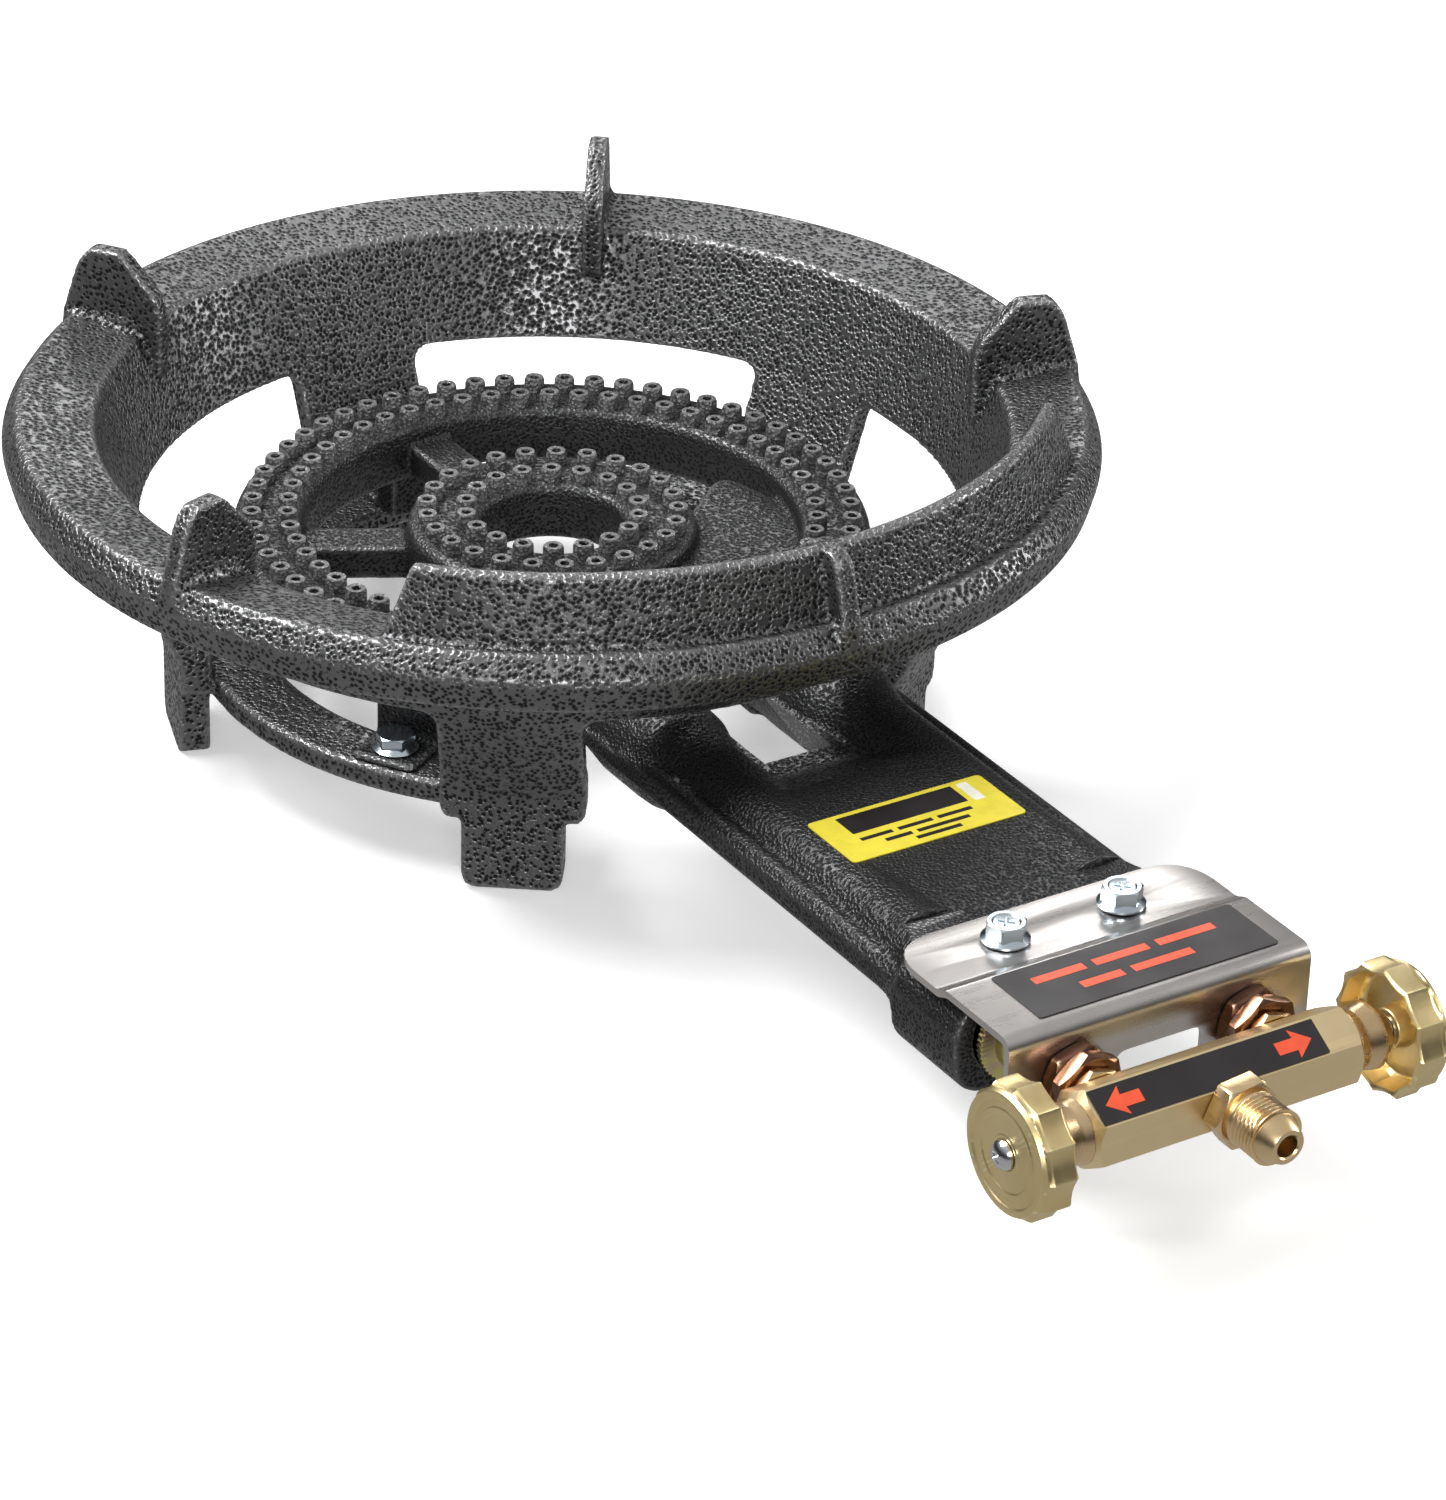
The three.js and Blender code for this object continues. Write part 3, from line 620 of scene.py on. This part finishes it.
def build_screws():
    for name, side in SIDES:
        screw = plate_screw(SEAT_Z + 2.6, move(side * SCREW_X, SCREW_Y, 0), 12 + 25 * side)
        piece(f"plate_screw_{name}", screw, ZINC, "stand", [f"bracket_screw_{name}"])
    for i, a in enumerate(BOLT_ANGLES):
        bolt = lug_bolt(33.7, move(*polar(BOLT_R, a), 0), 10 * i)
        piece(f"burner_bolt_{i + 1}", bolt, ZINC, "stand", [f"stand_bolt_{i + 1}"])


# ------------------------------------------------------------------ bracket
PLATE_LOW, PLATE_HIGH = SEAT_Z + 0.3, SEAT_Z + 2.0  # the bracket's underside on the arm and past the step
PLATE_TOP = PLATE_HIGH + SHEET
PLATE_HALF = 47.5  # half the bracket's width
PLATE_END = -248.5  # its end on the arm
FLANGE_LOW = 31.5  # the flange's lower edge


def build_bracket():
    """Bent sheet: a plate that steps up from the arm to the bend, and the flange that holds the outlets."""
    low, high = PLATE_LOW, PLATE_HIGH
    out, bend = FLANGE_Y - SHEET, 4.0

    def arc(radius):
        steps = [polar(radius, 90 + 9 * i) for i in range(11)]
        return [(out + bend + y, high + SHEET - bend + z) for y, z in steps]

    ramp_top = fillet([(-238, low + SHEET, 0), (-272.4, low + SHEET, 4), (-276.4, high + SHEET, 4),
                       (-290, high + SHEET, 0)])
    ramp_under = fillet([(-290, high, 0), (-277, high, 4), (-273, low, 4), (-238, low, 0)])
    side_view = ramp_top + arc(bend) + [(out, 30), (FLANGE_Y, 30)] + arc(bend - SHEET)[::-1] + ramp_under
    plan = fillet([(PLATE_HALF, -310, 0), (PLATE_HALF, PLATE_END, 15), (-PLATE_HALF, PLATE_END, 15),
                   (-PLATE_HALF, -310, 0)], 10)
    front = fillet([(PLATE_HALF, 90, 0), (-PLATE_HALF, 90, 0), (-PLATE_HALF, FLANGE_LOW, 12),
                    (-14, FLANGE_LOW, 9), (-14, 50, 4), (14, 50, 4), (14, FLANGE_LOW, 9),
                    (PLATE_HALF, FLANGE_LOW, 12)], 9)
    body = prism(side_view, -PLATE_HALF, PLATE_HALF, ALONG_X)
    body = boolean(body, [prism(plan, 20, 80), prism(front, 230, 320, ALONG_Y)], "INTERSECT")
    holes = []
    for _, side in SIDES:
        holes.append(lathe([(0, 295), (6.5, 295), (6.5, 312), (0, 312)], 48, on_tube(side)))
        holes.append(lathe([(0, 50), (3.4, 50), (3.4, 75), (0, 75)], 32, move(side * SCREW_X, SCREW_Y, 0)))
    body = soften(boolean(body, holes), 0.55, 3, 40)
    piece("valve_bracket", body, STAINLESS, "stand", ["bracket"], 25)


# ------------------------------------------------------------------ outlets
NUT_AF, NUT_BORE = 18.5, 6.3  # outlet nuts: width across flats and bore radius
NIPPLE_R = 6.05  # the gas nipples' thread radius
HEX_FACE = 0.93 / 0.94  # turned end face of the fittings' hexagons, as a share of their width
DISC_TEETH = 52


def knurl(r, z, a):
    """Fine teeth round an air disc's rim."""
    return r - (0.42 * (0.5 - 0.5 * math.cos(DISC_TEETH * a)) if r > 12.9 else 0)


def build_outlets():
    back = -FLANGE_Y
    front = back + SHEET
    bar = -BAR_Y - BAR_AF / 2
    nuts = [("rear_nut", back - 3.9, back - 0.3, 0), ("front_nut", front + 0.3, front + 4.4, 14),
            ("jam_nut", front + 4.6, front + 8.8, 38)]  # (name, from, to, turn)
    for name, side in SIDES:
        at = on_tube(side)
        for kind, z0, z1, turn in nuts:
            nut = soften(hex_solid(NUT_AF, z0, z1, at, turn, bore=NUT_BORE), 0.22)
            piece(f"{kind}_shown_{name}", nut, NUT_BRASS, "stand", [f"{kind}_{name}"])
        tube_part = thread(NIPPLE_R, 277.4, bar - 2.4, 1.0, at, segs=48)
        collar = soften(hex_solid(13.4, bar - 2.7, bar - 0.25, at, 45, face=HEX_FACE), 0.15)
        tail = lathe([(0, bar - 1), (5, bar - 1), (5, bar + 5), (0, bar + 5)], 32, at)
        nipple = joined([tube_part, collar, tail])
        piece(f"gas_nipple_{name}", nipple, TURNED_BRASS, "stand", [f"injector_{name}"])
        tip = lathe([(0.7, 274.2), (2.6, 274.2), (3.1, 274.7), (3.9, 275.6), (3.9, 277.3), (0.7, 277.3)],
                    32, at)
        piece(f"jet_tip_{name}", tip, TURNED_BRASS, "stand", [f"orifice_jet_{name}"])
        disc = lathe([(6.4, 281.4), (12.6, 281.4), (13.3, 281.7), (13.3, 283.3), (12.6, 283.6),
                      (10.4, 283.6), (9.2, 284.2), (9.0, 287.2), (8.6, 287.6), (6.4, 287.6)],
                     8 * DISC_TEETH, at, knurl)
        shutter = f"air_shutter_{name}"
        piece(f"air_disc_{name}", disc, YELLOW_ZINC, shutter, [shutter], 30)


# ------------------------------------------------------------------ manifold and valves
INLET_R, INLET_PITCH, INLET_DEPTH = 7.94, 1.411, 0.86  # the gas inlet's thread
INLET_BORE = 3.15


def build_manifold():
    """Hexagon bar with chamfered ends."""
    at = on_bar(1)
    bar = hex_solid(BAR_AF, -BAR_END, BAR_END, at, low=False, high=False)
    end_r, full_r, shoulder = 8.9, 12.4, BAR_END - 3
    chamfers = lathe([(0, -BAR_END), (end_r, -BAR_END), (full_r, -shoulder), (full_r, shoulder),
                      (end_r, BAR_END), (0, BAR_END)], 144, at)
    bar = soften(boolean(bar, [chamfers], "INTERSECT"), 0.25, 2, 25)
    piece("valve_manifold", bar, BRASS, "stand", ["manifold_bar"])


def build_inlet():
    face = -BAR_Y + BAR_AF / 2
    at = move(0, 0, AXIS_Z) @ ALONG_Y
    hexagon = soften(hex_solid(17.5, face + 0.2, face + 6.2, at, 6, face=HEX_FACE, low=False), 0.25)
    neck = lathe([(0, face + 5), (7.2, face + 5), (7.2, face + 8.4), (0, face + 8.4)], 64, at)
    male = thread(INLET_R, face + 7.6, face + 17.4, INLET_PITCH, at, INLET_DEPTH, 72)
    nose = lathe([(INLET_BORE, face + 10), (6.9, face + 16.8), (7.0, face + 17.5), (6.7, face + 18.2),
                  (5.05, 359.1), (4.7, 359.4), (3.5, 359.4), (INLET_BORE, 359.0)], 72, at)
    drill = lathe([(0, 340), (INLET_BORE, 340), (INLET_BORE, 366), (0, 366)], 48, at)
    male = boolean(male, [drill])
    root = lathe([(0, 330.2), (6, 330.2), (6, face + 1), (0, face + 1)], 32, at)
    inlet = joined([hexagon, neck, male, nose, root])
    piece("gas_inlet", inlet, TURNED_BRASS, "stand", ["inlet_fitting"])


RIDGES = 12  # on a knob


def flute(r, z, a):
    """Fluted grip: narrow ridges with hollows between them, fading towards the face and echoed inside."""
    hollow = abs(math.sin(RIDGES * a / 2)) ** 0.8
    if r >= 17.2:  # the outer wall
        return r - 1.35 * hollow * min(1, max(0, (62.6 - z) / 1.2))
    if 14.8 < r < 16.4 and z < 60:  # the inner wall
        return r - 0.7 * hollow
    return r


KNOB_SEAT = 63.3  # where the dome screw sits on a knob


def grip_shape(at):
    """Fluted knob with a stepped face, and its hub."""
    outline = fillet([(0, 60.7, 0), (14.2, 60.7, 1.2), (15.6, 59.0, 1.2), (16.3, 53.6, 0.4),
                      (17.6, 53.2, 0.4), (18.4, 54.0, 0.5), (18.4, 60.6, 1.2), (17.6, 61.9, 0.5),
                      (17.0, 62.3, 0.3), (16.4, 63.5, 0.4), (14.6, 63.55, 0.3), (14.1, 63.1, 0.2),
                      (12.4, 63.1, 0.15), (12.0, 63.35, 0.15), (10.6, 63.35, 0.15), (10.2, 63.05, 0.15),
                      (5.4, 63.05, 0.1), (5.0, 63.3, 0.1), (4.4, 63.3, 0.1), (4.2, 63.1, 0.1),
                      (0, 63.1, 0)], 3)
    grip = lathe(outline, 24 * RIDGES, at, flute)
    hub = lathe(fillet([(3.3, 56, 0.3), (5.4, 56, 0.6), (6.2, 60.8, 0.4), (3.3, 60.8, 0)]), 48, at)
    return joined([grip, hub])


def dome_screw(at):
    """Low domed head with a cross recess."""
    seat = KNOB_SEAT
    dome = lathe([(0, seat), (3.9, seat), (4.1, seat + 0.25), (4.1, seat + 0.8), (3.7, seat + 1.5),
                  (2.9, seat + 2.2), (1.7, seat + 2.75), (0, seat + 2.95)], 56, at)
    return boolean(dome, cross_recess(seat + 1.0, seat + 3.4, 2.1, at))


def build_valves():
    for name, side in SIDES:
        at = on_bar(side)
        stem, knob = f"valve_stem_{name}", f"knob_{name}"
        gland = lathe(fillet([(3.4, 40.6, 0), (7.1, 40.6, 0), (7.1, 42.05, 0), (8.9, 42.05, 0.1),
                              (8.2, 44.8, 3), (9.0, 48.6, 1.2), (9.15, 50.0, 0.4), (6.9, 50.4, 0.5),
                              (6.3, 53.6, 0.5), (3.4, 53.6, 0)]), 72, at)
        piece(f"gland_nut_{name}", gland, TURNED_BRASS, "stand", [f"bonnet_{name}"])
        rod = lathe([(0, 19.6), (0.9, 19.8), (2.1, 23.4), (2.1, 30), (2.95, 31), (2.95, 60.4), (2.6, 60.7),
                     (0, 60.7)], 40, at)
        piece(f"needle_stem_{name}", rod, STEEL, stem, [stem])
        piece(f"grip_{name}", grip_shape(at), KNOB_BRASS, knob, [knob], 30)
        piece(f"dome_screw_{name}", dome_screw(at), STEEL, knob, [f"knob_screw_{name}"])


# ------------------------------------------------------------------ labels
GAP, FACE, INK = 0.05, 0.3, 0.06  # under a label, from the metal to its face, and the ink's thickness
CAUTION_FACE = SEAT_Z + GAP + FACE
BAR_FACE = move(0, BAR_Y, AXIS_Z) @ rot("X", 30)  # heights run out of the manifold's upper front flat


def build_films():
    """The three labels on the arm, the bracket and the manifold."""
    caution = prism(rectangle(-29, 27, -206, -182.5, 1.6), SEAT_Z + GAP, CAUTION_FACE)
    piece("caution_film", caution, YELLOW_FILM, "stand", ["caution_label"], 30)
    bracket = prism(rectangle(-34.5, 41, -299.6, -277.2, 1.2), PLATE_TOP + GAP, PLATE_TOP + FACE)
    piece("bracket_film", bracket, BLACK_FILM, "stand", ["bracket_label"], 30)
    flat = BAR_AF / 2
    manifold = prism(rectangle(-40, 30, -5.2, 5.0, 0.3), flat + GAP, flat + FACE, BAR_FACE)
    piece("manifold_film", manifold, BLACK_FILM, "stand", ["manifold_label"], 30)


def ink_lines(rows, half, z):
    """Blank bars where lettering would be: rows of (x from, x to, y), each twice half high."""
    return [prism(rectangle(x0, x1, y - half, y + half), z, z + INK) for x0, x1, y in rows]


def build_ink():
    """Panels, bars and arrows, with no lettering."""
    panel = prism(rectangle(-20.8, 16.4, -193.2, -184.2, 0.4), CAUTION_FACE, CAUTION_FACE + INK)
    rows = [(-20.6, -10.5, -196.6), (-8.6, 2.4, -196.6), (4.2, 15.2, -196.6), (-14.8, -6.4, -200),
            (-4.6, 12.2, -200), (-6.8, 7.6, -203)]
    panel = joined([panel, *ink_lines(rows, 0.75, CAUTION_FACE)])
    piece("caution_panel", panel, BLACK_FILM, "stand", [], 30)
    strip = prism(rectangle(18.2, 21.6, -194, -184.2, 0.4), CAUTION_FACE, CAUTION_FACE + INK)
    piece("caution_strip", strip, WHITE_FILM, "stand", [], 30)
    rows = [(-26, -10, -284.2), (-7, 10, -284.2), (13, 31, -284.2), (-16, -3, -291.6), (0, 19, -291.6)]
    lines = joined(ink_lines(rows, 1.5, PLATE_TOP + FACE))
    piece("bracket_lines", lines, RED_INK, "stand", [], 30)
    outline = [(0, 0), (5.6, 4.2), (5.2, 1.7), (11, 1.7), (11, -1.9), (5.2, -1.9), (5.6, -4.2)]
    arrow_tip = {"left": -37, "right": 27}
    face = BAR_AF / 2 + FACE
    for name, side in SIDES:
        shape = [(arrow_tip[name] - side * x, y - 0.1) for x, y in outline]
        arrow = prism(shape, face, face + INK, BAR_FACE)
        piece(f"flow_arrow_{name}", arrow, RED_INK, "stand", [], 30)


build_stand()
build_burner()
build_screws()
build_bracket()
build_outlets()
build_manifold()
build_inlet()
build_valves()
build_films()
build_ink()
for name, _ in SIDES:
    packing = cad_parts[f"stem_packing_{name}"]  # shown as the CAD has it
    packing.data.materials.clear()
    packing.data.materials.append(RUBBER)


# ------------------------------------------------------------------ stage, lights and camera
# (0 straight down to 1 straight up, grey)
SKY = [(0.0, 0.8), (0.36, 0.7), (0.46, 0.06), (0.58, 0.08), (0.88, 1.0)]
SKY_STRENGTH = 0.55
FLOOR_HALF = 6  # metres
FLOOR_GLOW = 0.38
FLOOR_DROP = 0.0002  # keeps the floor just clear of the feet
AIM = (0, 0, 0.06)  # what the lights point at

# the camera: its place in metres, its turns in degrees, and its lens
CAMERA_PLACE = (-0.7623, -1.16905, 0.807)
AZIMUTH, ELEVATION, ROLL = -33.001, 29.083, 1.84
SENSOR, LENS = 36.0, 135.285
SHIFT_X, SHIFT_Y = 0.00123, -0.00024


def build_floor():
    """White paper that the part stands on; it lights nothing and shows in no reflection."""
    h = FLOOR_HALF
    data = bpy.data.meshes.new("floor")
    data.from_pydata([(-h, -h, 0), (h, -h, 0), (h, h, 0), (-h, h, 0)], [], [[0, 1, 2, 3]])
    floor = bpy.data.objects.new("floor", data)
    bpy.context.scene.collection.objects.link(floor)
    m = Nodes("floor_paper")
    m.set("Base Color", m.ramp(m.noise(3, 3), (0.3, 0.9), (0.7, 0.93)))
    m.shader.inputs["Roughness"].default_value = 0.7
    m.shader.inputs["Emission Color"].default_value = (1, 1, 1, 1)
    m.shader.inputs["Emission Strength"].default_value = FLOOR_GLOW
    data.materials.append(m.material)
    floor.visible_diffuse = floor.visible_glossy = False
    floor.location.z = -FLOOR_DROP


def build_sky():
    """Studio light from all round, graded by height."""
    world = bpy.data.worlds.new("studio")
    bpy.context.scene.world = world
    world.use_nodes = True
    tree = world.node_tree
    place = tree.nodes.new("ShaderNodeTexCoord")
    split = tree.nodes.new("ShaderNodeSeparateXYZ")
    ramp = tree.nodes.new("ShaderNodeValToRGB")
    tree.links.new(place.outputs["Generated"], split.inputs[0])
    height = tree.nodes.new("ShaderNodeMapRange")
    height.inputs["From Min"].default_value = -1
    tree.links.new(split.outputs["Z"], height.inputs["Value"])
    tree.links.new(height.outputs["Result"], ramp.inputs["Fac"])
    elements = ramp.color_ramp.elements
    elements.remove(elements[1])
    for i, (at, grey) in enumerate(SKY):
        element = elements[0] if i == 0 else elements.new(at)
        element.position = at
        element.color = (grey, grey, grey, 1)
    background = tree.nodes["Background"]
    tree.links.new(ramp.outputs["Color"], background.inputs["Color"])
    background.inputs["Strength"].default_value = SKY_STRENGTH


def area_light(name, place, size, power):
    data = bpy.data.lights.new(name, "AREA")
    data.shape = "RECTANGLE"
    data.size, data.size_y = size
    data.energy = power
    light = bpy.data.objects.new(name, data)
    bpy.context.scene.collection.objects.link(light)
    light.location = place
    light.rotation_mode = "QUATERNION"
    light.rotation_quaternion = (Vector(AIM) - Vector(place)).to_track_quat("-Z", "Y")


def build_lights():
    area_light("key", (-0.7, 0.7, 1.5), (1.2, 0.9), 44)
    area_light("front", (-0.9, -1.5, 0.75), (0.7, 0.4), 13)
    area_light("side", (1.6, -0.5, 0.6), (0.4, 0.8), 12)
    area_light("back", (1.0, 1.6, 1.0), (0.8, 0.4), 5)


def build_camera():
    data = bpy.data.cameras.new("camera")
    data.sensor_width, data.lens = SENSOR, LENS
    data.shift_x, data.shift_y = SHIFT_X, SHIFT_Y
    data.clip_start, data.clip_end = 0.05, 20
    camera = bpy.data.objects.new("camera", data)
    bpy.context.scene.collection.objects.link(camera)
    az, el, roll = (math.radians(v) for v in (AZIMUTH, ELEVATION, ROLL))
    right = Vector((math.cos(az), math.sin(az), 0))
    back = Vector((math.sin(az) * math.cos(el), -math.cos(az) * math.cos(el), math.sin(el)))
    up = back.cross(right)
    x = math.cos(roll) * right + math.sin(roll) * up
    y = -math.sin(roll) * right + math.cos(roll) * up
    turn = Matrix((x, y, back)).transposed().to_4x4()
    camera.matrix_world = Matrix.Translation(CAMERA_PLACE) @ turn
    bpy.context.scene.camera = camera


build_floor()
build_sky()
build_lights()
build_camera()
bpy.context.scene.view_settings.view_transform = "Standard"
